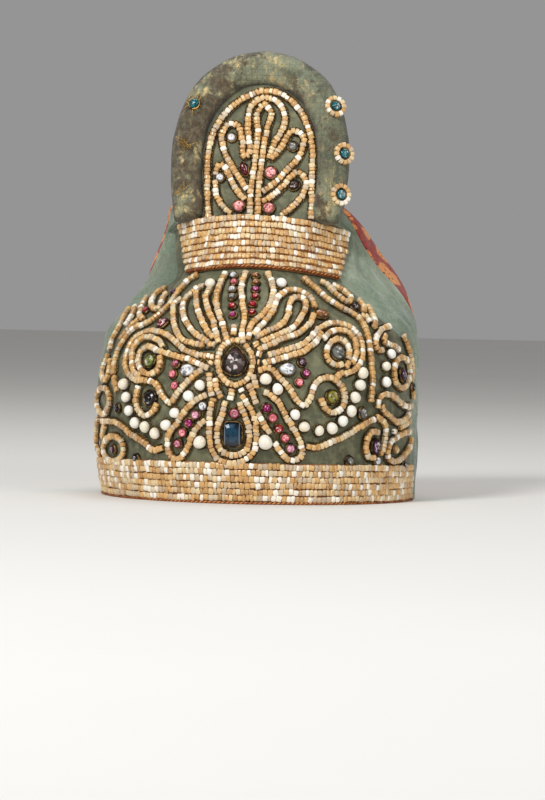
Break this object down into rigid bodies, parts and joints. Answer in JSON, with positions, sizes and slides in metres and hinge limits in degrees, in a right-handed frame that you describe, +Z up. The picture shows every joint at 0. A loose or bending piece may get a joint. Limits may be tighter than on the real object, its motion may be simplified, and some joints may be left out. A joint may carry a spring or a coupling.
{
  "type": "kokoshnik headdress",
  "caption": "Stiff hollow brow front sewn with bead strings, pearls and glass stones, with a padded hoof-shaped crest, beaded bands, silk sides and a printed cotton back.",
  "frame": {"origin": "on the floor under the middle of the bounding box, at the level of the rim", "axes": "+Z up through the crest, the brow faces -Y, +X to the right of someone who looks at the brow"},
  "size_m": [0.1828, 0.1838, 0.2491],
  "materials": {
    "brow_cloth": "matt quilted cloth, tarnished olive and grey-green",
    "silk": "light celadon figured silk, soft sheen",
    "cotton_print": "red printed cotton, matt",
    "roll_cloth": "worn grey-green padded cloth",
    "nacre_beads": "chopped mother-of-pearl beads on waxed thread",
    "pearl": "ivory pearl lustre",
    "stone_smoky": "foil-backed cut glass, smoky",
    "stone_clear": "foil-backed cut glass, clear",
    "stone_blue": "foil-backed cut glass, deep blue",
    "stone_teal": "foil-backed cut glass, teal",
    "stone_pink": "foil-backed cut glass, pink",
    "stone_red": "foil-backed cut glass, red",
    "stone_plum": "foil-backed cut glass, plum",
    "stone_green": "foil-backed cut glass, green",
    "stone_olive": "foil-backed cut glass, olive yellow",
    "stone_dark": "foil-backed cut glass, nearly black"
  },
  "bodies": {
    "root": {"front_shell": "brow_cloth", "silk_left": "silk", "silk_right": "silk", "back_panel": "cotton_print", "crest_roll": "roll_cloth", "crest_panel": "brow_cloth", "collar_band": "nacre_beads", "brow_band": "nacre_beads", "centre_drop": "stone_smoky", "blue_stone": "stone_blue", "pink_button": "stone_pink", "pear_left": "stone_clear", "pear_right": "stone_clear", "eye_upper_left": "stone_green", "eye_lower_left": "stone_dark", "eye_upper_right": "stone_smoky", "eye_lower_right": "stone_olive", "oval_smoky": "stone_smoky", "red_trefoil": "stone_red", "plum_oval_upper": "stone_plum", "plum_oval_lower": "stone_plum", "grey_oval": "stone_smoky", "stones_row_left": "stone_pink", "stones_row_right": "stone_red", "crest_silver_upper": "stone_clear", "crest_grey_round": "stone_smoky", "crest_silver_lower": "stone_clear", "crest_grey_oval": "stone_smoky", "crest_marquise": "stone_red", "crest_pink": "stone_pink", "crest_pear_left": "stone_pink", "crest_pear_right": "stone_pink", "rosette_right_upper": "stone_teal", "rosette_right_middle": "stone_teal", "rosette_right_lower": "stone_teal", "roll_stone_left": "stone_teal", "pearls_left": "pearl", "pearls_right": "pearl", "pearl_low_left": "pearl", "pearl_low_right": "pearl", "pearl_top_left": "pearl", "pearl_top_right": "pearl", "fan_strings": "nacre_beads", "petals_left": "nacre_beads", "petals_right": "nacre_beads", "scroll_left": "nacre_beads", "scroll_right": "nacre_beads", "border_left": "nacre_beads", "border_right": "nacre_beads", "drop_loops": "nacre_beads", "blue_frame": "nacre_beads", "garland_left": "nacre_beads", "garland_right": "nacre_beads", "crest_border": "nacre_beads", "crest_scrolls": "nacre_beads"}
  },
  "joints": []
}
